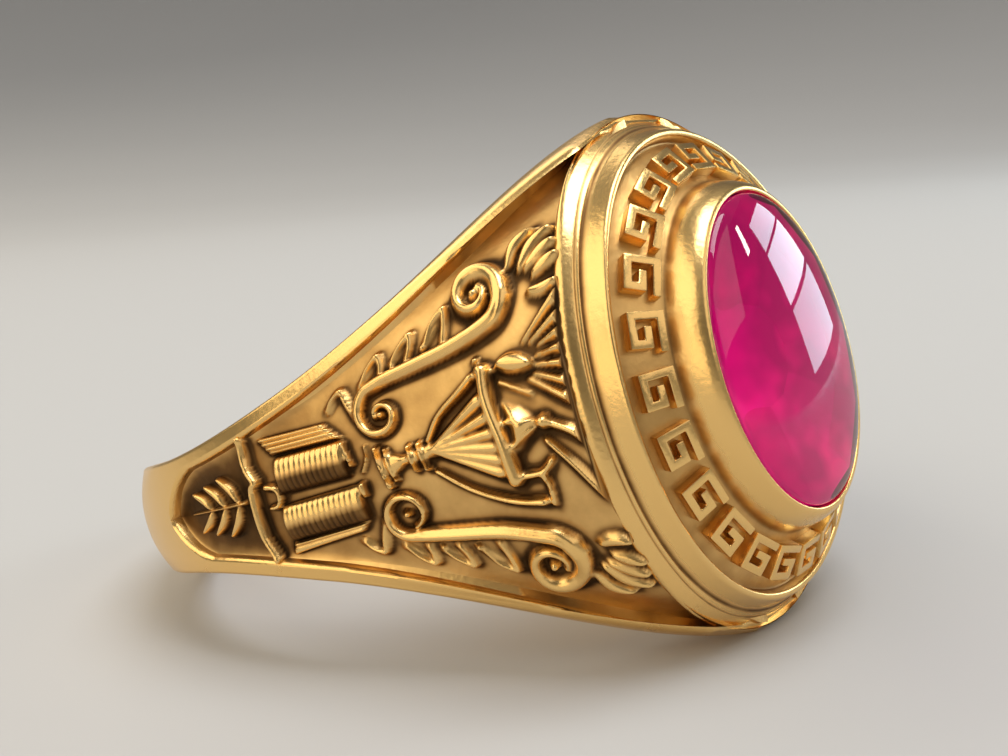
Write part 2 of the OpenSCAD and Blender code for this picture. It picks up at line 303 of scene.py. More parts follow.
def gold_with_patina_and_painted_shade():
    """Yellow gold: polished where it stands proud, browned by the casting's patina where it
    lies deep and by painted shade on the shoulders' relief, with fine pits and rubbed edges."""
    finish = bpy.data.materials.new("gold_with_patina_and_painted_shade")
    finish.use_nodes = True
    tree = finish.node_tree
    link = tree.links.new
    shader = tree.nodes["Principled BSDF"]
    shader.inputs["Metallic"].default_value = 1
    where = linked(tree, "ShaderNodeTexCoord", (-1400, 0))
    # The amount read here is the patina and, on the shoulders' relief, painted shade
    deep = linked(tree, "ShaderNodeAttribute", (-1400, 300), attribute_name="patina_and_shade")
    uneven = ranged(tree, clouded(tree, where, PATCH_SCALE, 4, (-1150, 100)), -0.3, 0.2, (-950, 100))
    patina_tone_and_shade_sum = linked(tree, "ShaderNodeMath", (-750, 250), operation="ADD", use_clamp=True)
    link(deep.outputs["Fac"], patina_tone_and_shade_sum.inputs[0])
    link(uneven, patina_tone_and_shade_sum.inputs[1])
    patina_tone_and_shade = patina_tone_and_shade_sum.outputs["Value"]
    link(shaded(tree, patina_tone_and_shade, GOLD_SHADES, (-500, 300)), shader.inputs["Base Color"])
    link(ranged(tree, patina_tone_and_shade, 0.26, 0.58, (-500, 0)), shader.inputs["Roughness"])
    pits = linked(tree, "ShaderNodeBump", (-250, -200))
    pits.inputs["Strength"].default_value = 0.32
    pits.inputs["Distance"].default_value = PIT_DEPTH
    link(clouded(tree, where, GRAIN_SCALE, 3, (-1150, -150)), pits.inputs["Height"])
    link(pits.outputs["Normal"], shader.inputs["Normal"])
    return finish


GOLD = gold_with_patina_and_painted_shade()


def as_gold(piece):
    piece.data.materials.append(GOLD)
    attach(piece, "root")
    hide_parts("ring_body")


as_gold(band())


# Shoulder relief
# Cast with the band and darkened in its recesses, with painted shade below its raised
# forms and on the lower halves of the pages: scrolls with leaves, palmettes, a lamp on a
# pedestal with its flame and rays, and an open book behind a brace. The upper of the
# finished ring's two shoulders is drawn, and the other is its mirror.
FIELD_R = CROWN_R - FIELD_DROP
FIELD_START = -6.3
FIELD_TOP = 12.2
FIELD_ROWS = 310
FIELD_COLUMNS = 290
FIELD_THICK = 0.3
# How far the relief's sheet runs under the borders' walls. The width is taken at a height
# that is a factor above the sheet's, as the walls lean out.
TUCK = 0.12
LEAN_OUT = 1.04
# The fillet with which the field rises to its walls
FILLET = 0.24
FILLET_WIDTH = 0.2
# How the drawing differs from the cast: lower, longer past the flat's start, and wider
DRAWN_LOWER = 0.15
DRAWN_LONGER = 0.08
DRAWN_WIDER = 1.055
# How dark the finish is on the field, and the height at which it has worn off
FIELD_DARK = 0.36
WORN_FROM = 0.3


def on_field(s, w, h):
    """A point of the near shoulder: s up toward the head from where the flat begins, w
    along the finger and h above the field."""
    tilt = np.arcsin(np.clip(w / FIELD_R, -1, 1))
    out = CROWN_AT + (FIELD_R + h) * np.cos(tilt)
    angle = FLAT_FROM - np.minimum(s, 0) / (BORDER_R - FIELD_DROP)
    up = np.maximum(s, 0)
    u = out * np.cos(angle) + up * math.sin(FLAT_FROM)
    v = -out * np.sin(angle) + up * math.cos(FLAT_FROM)
    return np.stack([u, v, (FIELD_R + h) * np.sin(tilt)], -1)


def smooth_path(path, steps=7):
    """A curve through given points."""
    p = np.array(path, float)
    if len(p) == 2:
        return p
    p = np.vstack([2 * p[0] - p[1], p, 2 * p[-1] - p[-2]])
    out = []
    for a, b, c, d in zip(p, p[1:], p[2:], p[3:]):
        for t in np.linspace(0, 1, steps, endpoint=False):
            out.append(0.5 * (2 * b + (c - a) * t + (2 * a - 5 * b + 4 * c - d) * t * t
                              + (3 * b - a - 3 * c + d) * t ** 3))
    return np.array(out + [p[-2]])


class Relief:
    """Heights over the field, to which each stroke of the design is added, and the painted
    shade laid on some of its parts. The design is drawn a little lower down the
    shoulder and a little wider than it is cast."""

    def __init__(self, s, w):
        self.s = s - DRAWN_LOWER + DRAWN_LONGER * np.minimum(s, 0)
        self.w = DRAWN_WIDER * w
        self.h = np.zeros_like(s)
        # Painted shade, laid on the lower halves of the pages
        self.dark = np.zeros_like(s)

    def stroke(self, path, width, tall, profile="round", belly=None):
        """Raises a strip along a path, as a round bead or a sharp ridge. Its width and height
        run from a first value to a last, and a belly makes a pointed petal of it."""
        p = smooth_path(path)
        wide = np.linspace(width[0], width[-1], len(p)) / 2
        if belly:
            share = np.linspace(0, 1, len(p))
            wide = belly / 2 * np.sin(math.pi * np.clip(share * 0.92 + 0.08, 0, 1)) ** 0.7 + 0.01
        high = np.linspace(tall[0], tall[-1], len(p)) if isinstance(tall, tuple) else np.full(len(p), tall)
        reach = wide.max() + 0.02
        near = (self.s > p[:, 0].min() - reach) & (self.s < p[:, 0].max() + reach)
        near &= (self.w > p[:, 1].min() - reach) & (self.w < p[:, 1].max() + reach)
        s, w = self.s[near], self.w[near]
        best = np.zeros_like(s)
        for i in range(len(p) - 1):
            d = p[i + 1] - p[i]
            t = np.clip(((s - p[i, 0]) * d[0] + (w - p[i, 1]) * d[1]) / max(d @ d, 1e-9), 0, 1)
            away = np.hypot(s - p[i, 0] - t * d[0], w - p[i, 1] - t * d[1])
            x = away / np.maximum(wide[i] + t * (wide[i + 1] - wide[i]), 0.01)
            top = high[i] + t * (high[i + 1] - high[i])
            if profile == "round":
                form = np.sqrt(np.maximum(1 - x * x, 0))
            else:
                form = np.maximum(1 - x, 0) ** 0.8
            best = np.maximum(best, form * top)
        self.h[near] = np.maximum(self.h[near], best)

    def groove(self, path, width, deep):
        """Cuts a round groove into what is raised already."""
        before, self.h = self.h, np.zeros_like(self.h)
        self.stroke(path, (width, width), deep)
        self.h = np.where(before > 0.05, before - self.h, before)

    def dot(self, at, r, tall):
        x = np.hypot(self.s - at[0], self.w - at[1]) / r
        self.h = np.maximum(self.h, tall * np.sqrt(np.maximum(1 - x * x, 0)))

    def plate(self, corners, tall, edge=0.08):
        """Raises a polygon, given counterclockwise, with sloped edges."""
        depth = np.full_like(self.s, 9.0)
        for (a, b), (c, d) in zip(corners, corners[1:] + corners[:1]):
            length = math.hypot(c - a, d - b)
            depth = np.minimum(depth, ((c - a) * (self.w - b) - (d - b) * (self.s - a)) / length)
        shape = np.clip(depth / edge, 0, 1)
        self.h = np.where(depth > 0, np.maximum(self.h, shape * tall), self.h)


def volute(eye, reach, fade, first, last):
    """A spiral round its eye, from its outer end at the first angle to the last."""
    angles = np.radians(np.arange(first, last, 24))
    turned = np.degrees(angles) - first
    r = reach * np.exp(-fade * turned)
    return [(eye[0] + a * math.cos(t), eye[1] + a * math.sin(t)) for a, t in zip(r, angles)]


def flipped(path, side):
    return [(s, w * side) for s, w in path]


def scroll(relief, side, small, stem, big):
    """An S scroll: its small volute toward the palm, its stem and its big volute."""
    path = volute(*small)[::-1] + stem + volute(*big)
    path = flipped(path, side)
    n = len(path)
    turns = len(volute(*small))
    relief.stroke(path[:turns + 1], (0.18, 0.42), (0.32, 0.42))
    relief.stroke(path[turns - 1:turns + len(stem) + 4], (0.42, 0.66), (0.42, 0.5))
    relief.stroke(path[turns + len(stem) + 2:], (0.66, 0.22), (0.5, 0.36))
    relief.dot((big[0][0], big[0][1] * side), 0.17, 0.44)
    relief.dot((small[0][0], small[0][1] * side), 0.13, 0.36)
    relief.groove([(s, w - 0.12 * side) for s, w in path[turns:n - 14]], 0.08, 0.06)


LEAVES = (
    ([(4.85, 3.2), (5.1, 3.65), (5.55, 4.0)], [(5.55, 4.0), (5.5, 3.5), (5.4, 3.05)]),
    ([(3.7, 2.9), (3.95, 3.2), (4.4, 3.55)], [(4.4, 3.55), (4.35, 3.15), (4.2, 2.85)]),
    ([(2.6, 2.5), (2.9, 2.9), (3.3, 3.2)], [(3.3, 3.2), (3.35, 2.9), (3.3, 2.65)]),
    ([(1.4, 2.05), (1.6, 2.3), (1.95, 2.5)], [(1.95, 2.5), (2.1, 2.0), (2.3, 1.6)]),
)
PETALS = (
    [(7.6, 4.55), (7.85, 5.15), (8.5, 5.5)],
    [(7.95, 4.45), (8.4, 5.05), (9.1, 5.4)],
    [(8.15, 4.4), (8.7, 4.8), (9.15, 5.0)],
    [(8.35, 4.15), (8.75, 4.4), (9.2, 4.6)],
    [(8.15, 3.75), (8.6, 3.7), (9.1, 3.85)],
)


def scrollwork(relief):
    scroll(relief, 1, ((3.15, 1.5), 0.86, 0.0034, 112, 560),
           [(3.4, 2.45), (4.15, 2.56), (5.45, 2.76), (6.4, 3.0)],
           ((6.55, 4.07), 0.95, 0.0027, -60, 440))
    scroll(relief, -1, ((3.1, 1.52), 0.68, 0.0012, 98, 440),
           [(3.4, 2.26), (4.2, 2.4), (5.65, 2.66)],
           ((6.66, 4.05), 1.02, 0.0022, -85, 400))
    for side in (1, -1):
        for near_part, far_part in LEAVES:
            relief.stroke(flipped(near_part, side), (0.1, 0.18), (0.18, 0.28))
            relief.stroke(flipped(far_part, side), (0.2, 0.14), (0.3, 0.2))
            relief.stroke(flipped([near_part[0], far_part[0], far_part[-1]], side), (0.3, 0.3), (0.1, 0.14))
        relief.dot((4.75, 3.05 * side), 0.12, 0.22)
        relief.dot((3.7, 2.8 * side), 0.1, 0.2)
        for petal in PETALS:
            relief.stroke(flipped(petal, side), (0.1, 0.2), (0.24, 0.38), belly=0.4)


def lamp(relief):
    """The ribbed bowl with its rim, lid and handle, and the flame at its spout with its rays."""
    relief.plate([(4.4, 0.0), (6.35, -1.15), (6.35, 1.3), (4.4, 0.3)], 0.2)
    for end in ((6.2, 1.12), (6.3, 0.62), (6.3, 0.16), (6.33, -0.24), (6.35, -0.6), (6.3, -0.95)):
        relief.stroke([(4.4, 0.12), end], (0.12, 0.48), (0.32, 0.44))
    relief.stroke([(4.42, 0.42), (4.9, 1.0), (5.6, 1.45), (6.15, 1.82)], (0.2, 0.3), (0.32, 0.42))
    relief.plate([(6.7, -0.95), (7.6, -0.15), (7.8, 0.12), (7.75, 0.3), (7.3, 0.75), (6.7, 1.1)], 0.46, 0.42)
    relief.stroke([(6.85, 0.35), (7.65, 0.2)], (0.2, 0.12), (0.46, 0.4))
    relief.stroke([(6.85, -0.35), (7.6, 0.02)], (0.18, 0.1), (0.44, 0.38))
    rim = [(6.5, 1.9), (6.45, 1.25), (6.5, 0.65), (6.6, -0.05), (6.63, -0.78), (6.66, -1.25)]
    relief.stroke(rim, (0.44, 0.54), (0.5, 0.56))
    relief.dot((6.48, 1.9), 0.27, 0.5)
    relief.dot((6.3, 2.25), 0.12, 0.3)
    relief.stroke([(6.6, 1.85), (7.2, 1.9)], (0.16, 0.12), 0.26)
    relief.stroke([(7.02, 1.95), (7.45, 1.9), (7.95, 1.75)], (0.4, 0.4), (0.42, 0.38), belly=0.66)
    relief.dot((7.88, 0.12), 0.24, 0.5)
    relief.stroke([(8.06, 0.02), (8.6, -0.35), (9.05, -0.92)], (0.26, 0.34), (0.34, 0.38))
    relief.stroke([(7.78, -0.4), (8.4, -1.35), (9.08, -2.65)], (0.2, 0.38), (0.34, 0.42), "ridge")
    relief.stroke([(6.65, -1.2), (7.4, -1.25), (7.78, -0.98)], (0.28, 0.2), (0.4, 0.32))
    relief.stroke([(7.42, -1.28), (7.48, -1.7), (7.42, -2.25)], (0.24, 0.18), (0.38, 0.28))
    relief.stroke([(4.4, -0.5), (5.3, -1.28), (6.3, -1.84), (7.2, -2.1)], (0.16, 0.28), (0.28, 0.38))
    heart = np.array((7.1, 1.87))
    for w, start in zip((3.45, 2.92, 2.46, 1.99, 1.49, 0.9, 0.31), (0.34, 0.44, 0.56, 0.5, 0.48, 0.41, 0.32)):
        end = np.array((9.04, w))
        relief.stroke([heart + start * (end - heart), end], (0.1, 0.36), (0.2, 0.4))
    relief.stroke([(6.85, 1.5), (7.7, 0.95)], (0.12, 0.12), 0.2)


def pedestal(relief):
    relief.stroke([(2.75, 0.58), (2.78, 0.1), (2.9, -0.62)], (0.2, 0.18), 0.42)
    relief.stroke([(3.0, 0.5), (3.04, 0.0), (3.12, -0.48)], (0.14, 0.12), 0.36)
    relief.stroke([(3.1, 0.02), (3.6, 0.05)], (0.75, 0.3), 0.26)
    relief.stroke([(3.5, 0.05), (4.5, 0.12)], (0.34, 0.5), 0.3)
    relief.stroke([(3.78, 0.4), (3.85, -0.32)], (0.2, 0.18), 0.44)
    relief.stroke([(4.12, 0.4), (4.2, -0.36)], (0.2, 0.18), 0.46)


def book(relief):
    """Two rounded pages with fine lines, with painted shade on their lower halves, over the
    fanned edges of the other pages, and the brace at their end."""
    page_half, page_rise, end_slope = 0.58, 0.42, 0.08
    line_pitch, line_depth = 0.185, 0.045
    for middle, first, last, lean in ((0.55, -0.75, 1.74, 0.0), (-0.92, -0.88, 1.94, 0.03)):
        x = (relief.w - middle - lean * relief.s) / page_half
        along = np.clip((relief.s - first) / end_slope, 0, 1) * np.clip((last - relief.s) / end_slope, 0, 1)
        page = page_rise * np.sqrt(np.maximum(1 - x * x, 0)) ** 0.8 * along
        lined = np.clip((0.94 - np.abs(x)) * 6, 0, 1) * (along > 0.99)
        page = page + line_depth * np.cos(2 * math.pi * relief.s / line_pitch) * lined
        shown = page > 0.02
        relief.h = np.where(shown, np.maximum(relief.h, page), relief.h)
        # Painted shade on the lower half of each page
        lower = 0.75 * np.clip((0.2 - x) * 2.2, 0, 1)
        relief.dark = np.where(shown & (relief.h <= page), lower, relief.dark)
    relief.plate([(-0.8, 1.2), (1.8, 1.14), (1.2, 1.76), (-1.3, 1.82)], 0.32)
    relief.plate([(-1.05, -1.96), (1.6, -1.76), (1.92, -1.42), (-0.9, -1.53)], 0.28)
    for offset in (0.13, 0.28, 0.43):
        relief.groove([(-0.9 - offset * 0.6, 1.2 + offset), (1.75 - offset, 1.16 + offset)], 0.07, 0.1)
    relief.groove([(-0.95, -1.68), (1.75, -1.56)], 0.06, 0.08)
    relief.stroke([(1.72, 1.0), (1.84, 0.3)], (0.16, 0.14), 0.34)
    relief.stroke([(2.0, -0.35), (2.02, -0.7)], (0.24, 0.14), 0.36)
    relief.stroke([(2.1, 0.0), (2.3, 0.35), (2.35, 0.75)], (0.1, 0.08), 0.18)
    loop = [(-1.2, 0.3), (-0.88, 0.22), (-0.78, -0.06), (-0.92, -0.34), (-1.2, -0.34)]
    brace_top = [(-1.78, 1.84), (-1.84, 1.31), (-1.76, 0.9), (-1.58, 0.56)]
    brace_low = [(-1.58, 0.52), (-1.76, 0.3), (-1.82, -0.33), (-1.82, -1.19), (-1.56, -1.86)]
    relief.stroke(loop, (0.26, 0.18), 0.36)
    relief.stroke(brace_top, (0.3, 0.32), 0.42)
    relief.stroke(brace_low, (0.32, 0.32), 0.42)


def end_sprig(relief):
    relief.stroke([(-2.25, 0), (-5.1, 0)], (0.24, 0.1), (0.34, 0.24), "ridge")
    for at in (2.55, 3.25, 3.95):
        spread = 1.0 - 0.16 * (at - 2.5) / 0.7
        for side in (1, -1):
            leaf = [(-at, 0.08), (-at - 0.25, 0.55 * spread), (-at - 0.75, spread)]
            relief.stroke(flipped(leaf, side), (0.1, 0.2), (0.28, 0.36), belly=0.32)


def softened(h, passes):
    """Each height blended with its four neighbours, a number of times."""
    for _ in range(passes):
        p = np.pad(h, 1, mode="edge")
        h = (p[1:-1, 1:-1] * 4 + p[:-2, 1:-1] + p[2:, 1:-1] + p[1:-1, :-2] + p[1:-1, 2:]) / 8
    return h


def shoulder_grid():
    """Rows run up the shoulder to the head's shelf, columns across it between the borders,
    whose walls stand a little farther out than their feet."""
    share = np.linspace(0, 1, FIELD_ROWS)

    def row_at(w):
        out = CROWN_AT + np.sqrt(FIELD_R ** 2 - w ** 2)
        last = (FIELD_TOP - out * math.cos(FLAT_FROM)) / math.sin(FLAT_FROM)
        return FIELD_START + (last - FIELD_START) * share.reshape([-1] + [1] * (w.ndim - 1))

    def past_wall(w):
        return w > field_half(LEAN_OUT * on_field(row_at(w), w, 0)[:, 0], TUCK)

    reach = solve(past_wall, 0 * share, 0 * share + FIELD_R - 0.02)
    w = reach[:, None] * np.linspace(-1, 1, FIELD_COLUMNS)
    return row_at(w), w, reach


def patina_and_painted_shade(relief, h, s):
    """How dark each point is: patina in the narrow and the wide hollows, painted shade under the
    raised forms and on lower page halves, and the open field, which grows darker toward the palm."""
    narrow = np.clip((softened(h, 14) - h) * 9, 0, 0.7)
    wide = np.clip((softened(h, 70) - h) * 2, 0, 0.35)
    # Painted shade: darker just below where the form above it stands higher
    under = np.clip((softened(np.roll(h, -5, axis=1), 4) - h) * 1.5, 0, 0.4)
    toward_palm = 0.24 * np.clip((3.5 - s) / 3.5, 0, 1) + 0.35 * np.clip((-1.2 - s) / 0.8, 0, 1)
    open_field = (FIELD_DARK + toward_palm) * np.clip(1 - h / WORN_FROM, 0, 1)
    return np.clip(open_field + (narrow + wide) + under + relief.dark, 0, 1)


def shoulder(name, side):
    """A closed sheet of relief: its top, a strip below each long edge, and two end caps."""
    s, w, reach = shoulder_grid()
    relief = Relief(s, w)
    for part in (scrollwork, lamp, pedestal, book, end_sprig):
        part(relief)
    from_edge = reach[:, None] - np.abs(w) - TUCK
    h = softened(relief.h, 3) + FILLET * np.exp(-np.maximum(from_edge, 0) / FILLET_WIDTH)
    patina_and_shade = patina_and_painted_shade(relief, h, s)
    bottom = on_field(s[:, [0, -1]], w[:, [0, -1]], -FIELD_THICK)
    points = np.concatenate([on_field(s, w, h).reshape(-1, 3), bottom.reshape(-1, 3)])
    points[:, 1] *= side
    rows, columns = s.shape
    faces = grid_faces(rows, columns)
    low = rows * columns
    for i in range(rows - 1):
        left, right = i * columns, i * columns + columns - 1
        a, b = low + 2 * i, low + 2 * i + 1
        faces.append((left, left + columns, a + 2, a))
        faces.append((right + columns, right, b, b + 2))
        faces.append((a, a + 2, b + 2, b))
    for i in (0, rows - 1):
        row = tuple(range(i * columns, (i + 1) * columns))
        faces.append(row + (low + 2 * i + 1, low + 2 * i))
    dark = np.concatenate([patina_and_shade.ravel(), np.ones(2 * rows)])
    as_gold(cast_piece(name, lay_down(points), faces, dark, 75))


shoulder("shoulder_relief_near", 1)
shoulder("shoulder_relief_far", -1)


# Bezel
# The oval drum on the head, cast with the band: a fine ridge round its foot, a slanted
# wall up to a bright crest, a sunk channel for the ornament and a collar whose lip is
# burnished over the stone.
LIP_TOP = 14.9
# Points of the section from the foot over the rim, channel and lip to the stone's well:
# the reach from the middle, the height above the finger, and how dark the finish is
SHOWN_PROFILE = (
    (7.4, 11.2, 0.3), (8.1, 11.98, 0.25), (8.2, 12.12, 0.05), (8.23, 12.26, 0.0), (8.16, 12.4, 0.0),
    (8.02, 12.52, 0.0), (7.9, 12.6, 0.05), (7.86, 12.605, 0.6), (7.82, 12.66, 0.1), (7.76, 12.7, 0.05),
    (7.71, 12.68, 0.6), (7.67, 12.7, 0.8), (7.63, 12.78, 0.4), (7.58, 12.9, 0.05), (7.46, 13.18, 0.0),
    (7.42, 13.28, 0.0), (7.37, 13.35, 0.0), (7.29, 13.37, 0.0), (7.21, 13.34, 0.0), (7.15, 13.22, 0.15),
    (7.1, 13.05, 0.5), (7.0, 13.0, 0.55), (6.6, 13.22, 0.4), (6.15, 13.47, 0.34), (5.6, 13.79, 0.4),
    (5.47, 13.88, 0.65), (5.43, 14.0, 0.5), (5.4, 14.15, 0.2), (5.34, 14.38, 0.05), (5.22, 14.64, 0.0),
    (5.12, 14.78, 0.0), (5.03, 14.87, 0.0), (4.94, LIP_TOP, 0.0), (4.87, 14.89, 0.0), (4.84, 14.82, 0.1),
    (4.84, 14.6, 0.8), (5.04, 14.58, 0.8), (5.04, 13.93, 0.8), (4.65, 13.9, 0.8), (3.65, 12.95, 0.8),
    (1.55, 12.0, 0.8), (0.02, 12.0, 0.8),
)
OUTER_RATIO = 0.865
LIP_RATIO = 0.81
LIP_HALF = 4.84
CREST_HALF = 7.3
END_DIP = 0.3
# Toward the oval's two ends, from a share of the way to them, the mouldings outside this
# reach fade into one plain slope
MOULDING_FROM = 7.6
FADE_FROM = 0.6
FADE_OVER = 0.34
RIDGE_HALF = 8.2
RIDGE_LEVEL = 12.12
PLAIN_SLOPE = 1.2


def on_bezel(r, height, turn):
    """A point of the bezel: r is its reach along the finger, and turn goes round the oval."""
    out = np.clip((r - LIP_HALF) / (CREST_HALF - LIP_HALF), 0, 1)
    ratio = LIP_RATIO + (OUTER_RATIO - LIP_RATIO) * out
    faded = np.clip((np.abs(np.cos(turn)) - FADE_FROM) / FADE_OVER, 0, 1)
    faded = faded * (r > MOULDING_FROM) * (height > SHELF)
    height = height + faded * (RIDGE_LEVEL + PLAIN_SLOPE * (RIDGE_HALF - r) - height)
    dip = END_DIP * out * np.cos(turn) ** 2 * (height > SHELF)
    return np.stack([height - dip + 0 * turn, r * ratio * np.sin(turn), r * np.cos(turn)], -1)


def turned_faces(around, count):
    """Faces of a section carried round the oval, closed by a flat face at each end of it."""
    faces = grid_faces(around, count, True, False)
    faces.append(tuple(i * count for i in range(around)))
    faces.append(tuple(i * count + count - 1 for i in range(around - 1, -1, -1)))
    return faces


def bezel():
    around = 288
    turn = np.linspace(0, 2 * math.pi, around, endpoint=False)[:, None]
    profile = smooth_path(SHOWN_PROFILE, 3)
    points = on_bezel(profile[None, :, 0], profile[None, :, 1], turn)
    patina_and_shade = np.clip(np.tile(profile[:, 2], around), 0, 1)
    return cast_piece("bezel", lay_down(points.reshape(-1, 3)), turned_faces(around, len(profile)), patina_and_shade, 60)


as_gold(bezel())


# Channel ornament
# Key-shaped ornaments that stand on the channel's slanted floor all round the bezel,
# cast with it, their flat tops polished bright against the dark floor.
KEY_COUNT = 24
KEY_MIDDLE = 6.155
KEY_HEIGHT = 13.45
KEY_RATIO = 0.84
KEY_SLOPE = math.radians(29.4)
KEY_RELIEF = 0.4
KEY_ROOT = 0.3
KEY_EDGE = 0.05
KEY_OUTLINE = (
    (-0.58, -0.56), (0.58, -0.56), (0.58, 0.56), (-0.47, 0.56), (-0.47, -0.13), (0.16, -0.13), (0.16, 0.11),
    (-0.22, 0.11), (-0.22, 0.31), (0.34, 0.31), (0.34, -0.31), (-0.58, -0.31),
)


def one_key():
    """The ornament's pattern, in millimetres, with its edges rubbed round."""
    bm = bmesh.new()
    base = bm.faces.new([bm.verts.new((x, y, -KEY_ROOT)) for x, y in KEY_OUTLINE])
    risen = bmesh.ops.extrude_face_region(bm, geom=[base])["geom"]
    corners = [part for part in risen if isinstance(part, bmesh.types.BMVert)]
    bmesh.ops.translate(bm, verts=corners, vec=(0, 0, KEY_RELIEF + KEY_ROOT))
    bmesh.ops.recalc_face_normals(bm, faces=bm.faces)
    rim = [edge for edge in bm.edges if all(v.co.z > 0 for v in edge.verts)]
    upright = [edge for edge in bm.edges if abs(edge.verts[0].co.z - edge.verts[1].co.z) > 0.1]
    bmesh.ops.bevel(bm, geom=rim + upright, offset=KEY_EDGE, offset_type="OFFSET", segments=2, profile=0.6,
                    affect="EDGES")
    bmesh.ops.triangulate(bm, faces=bm.faces)
    mesh = bpy.data.meshes.new("channel_key")
    bm.to_mesh(mesh)
    bm.free()
    height = np.array([v.co.z for v in mesh.vertices])
    dark = np.where(height < 0, 0.9, np.clip(0.7 - 0.9 * (height / KEY_RELIEF) ** 2, 0, 1))
    mesh.attributes.new("patina_and_shade", "FLOAT", "POINT").data.foreach_set("value", dark)
    return mesh


def key_ring_tree():
    """Sets the key out round an oval, tilted with the channel's floor, and lays the ring of
    keys down with the head."""
    tree = bpy.data.node_groups.new("key_ring", "GeometryNodeTree")
    face = tree.interface
    face.new_socket("Key", in_out="INPUT", socket_type="NodeSocketGeometry")
    for name, kind, value in (
        ("Count", "Int", KEY_COUNT), ("Reach", "Float", KEY_MIDDLE), ("Ratio", "Float", KEY_RATIO),
        ("Height", "Float", KEY_HEIGHT), ("End dip", "Float", END_DIP / 2), ("Slope", "Float", KEY_SLOPE),
        ("Place", "Vector", finger_at), ("Lean", "Vector", (0, math.pi / 2 - LEAN, 0)),
        ("Finish", "Material", GOLD),
    ):
        face.new_socket(name, in_out="INPUT", socket_type="NodeSocket" + kind).default_value = value
    face.new_socket("Ornament", in_out="OUTPUT", socket_type="NodeSocketGeometry")
    link = tree.links.new
    given = linked(tree, "NodeGroupInput", (-1600, 0)).outputs

    def calc(operation, a, b=None):
        node = linked(tree, "ShaderNodeMath", operation=operation)
        for k, value in enumerate((a, b)):
            if isinstance(value, (int, float)):
                node.inputs[k].default_value = value
            elif value is not None:
                link(value, node.inputs[k])
        return node.outputs[0]

    line = linked(tree, "GeometryNodeMeshLine", (-1200, 300))
    link(given["Count"], line.inputs["Count"])
    step = calc("DIVIDE", 2 * math.pi, given["Count"])
    turn = calc("MULTIPLY", linked(tree, "GeometryNodeInputIndex").outputs[0], step)
    along, across = calc("COSINE", turn), calc("SINE", turn)
    spot = linked(tree, "ShaderNodeCombineXYZ", (-700, 100))
    link(calc("MULTIPLY", given["Reach"], along), spot.inputs[0])
    link(calc("MULTIPLY", calc("MULTIPLY", given["Reach"], given["Ratio"]), across), spot.inputs[1])
    sag = calc("MULTIPLY", given["End dip"], calc("MULTIPLY", along, along))
    link(calc("SUBTRACT", given["Height"], sag), spot.inputs[2])
    placed = linked(tree, "GeometryNodeSetPosition", (-500, 300))
    link(line.outputs["Mesh"], placed.inputs["Geometry"])
    link(spot.outputs[0], placed.inputs["Position"])
    outward = calc("ARCTAN2", across, calc("MULTIPLY", given["Ratio"], along))
    facing = linked(tree, "ShaderNodeCombineXYZ", (-500, 0))
    link(calc("MULTIPLY", given["Slope"], -1), facing.inputs[0])
    link(calc("SUBTRACT", outward, math.pi / 2), facing.inputs[2])
    turned = linked(tree, "FunctionNodeEulerToRotation", (-300, 0))
    link(facing.outputs[0], turned.inputs[0])
    keys = linked(tree, "GeometryNodeInstanceOnPoints", (-100, 300))
    link(placed.outputs[0], keys.inputs["Points"])
    link(given["Key"], keys.inputs["Instance"])
    link(turned.outputs[0], keys.inputs["Rotation"])
    solid = linked(tree, "GeometryNodeRealizeInstances", (100, 300))
    link(keys.outputs[0], solid.inputs[0])
    laid = linked(tree, "GeometryNodeTransform", (300, 300))
    link(solid.outputs[0], laid.inputs["Geometry"])
    link(given["Place"], laid.inputs["Translation"])
    link(given["Lean"], laid.inputs["Rotation"])
    laid.inputs["Scale"].default_value = (MM, MM, MM)
    coloured = linked(tree, "GeometryNodeSetMaterial", (500, 300))
    link(laid.outputs[0], coloured.inputs["Geometry"])
    link(given["Finish"], coloured.inputs["Material"])
    link(coloured.outputs[0], linked(tree, "NodeGroupOutput", (700, 300)).inputs[0])
    return tree


def channel_ornament():
    maker = bpy.data.objects.new("channel_ornament", one_key())
    bpy.context.scene.collection.objects.link(maker)
    maker.modifiers.new("key_ring", "NODES").node_group = key_ring_tree()
    made = maker.evaluated_get(bpy.context.evaluated_depsgraph_get())
    mesh = bpy.data.meshes.new_from_object(made)
    maker.modifiers.clear()
    maker.data = mesh
    mesh.polygons.foreach_set("use_smooth", [True] * len(mesh.polygons))
    mesh.set_sharp_from_angle(angle=math.radians(50))
    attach(maker, "root")
    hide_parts("ring_body")


channel_ornament()


# Stone
# A clear deep red oval, polished to a dome above and cut in two rows of facets down to
# a small table below, held by the lip.
STONE_RATIO = LIP_RATIO
STONE_HALF = 5.0
GIRDLE_TOP = 14.53
GIRDLE_LOW = 13.98
DOME_HALF = 4.79
DOME_RISE = 0.75
DOME_FOOT = LIP_TOP - 0.1
DOME_WALL_TOP = LIP_TOP - 0.15
# The underside's rings of corners, each with its reach and height: girdle, waist and table
FACET_COUNT = 12
FACET_RINGS = ((STONE_HALF - 0.4, GIRDLE_LOW), (3.6, 13.1), (1.5, 12.25))
# Faces whose middle is below this height belong to the facets
FACETS_BELOW = GIRDLE_LOW - 0.02


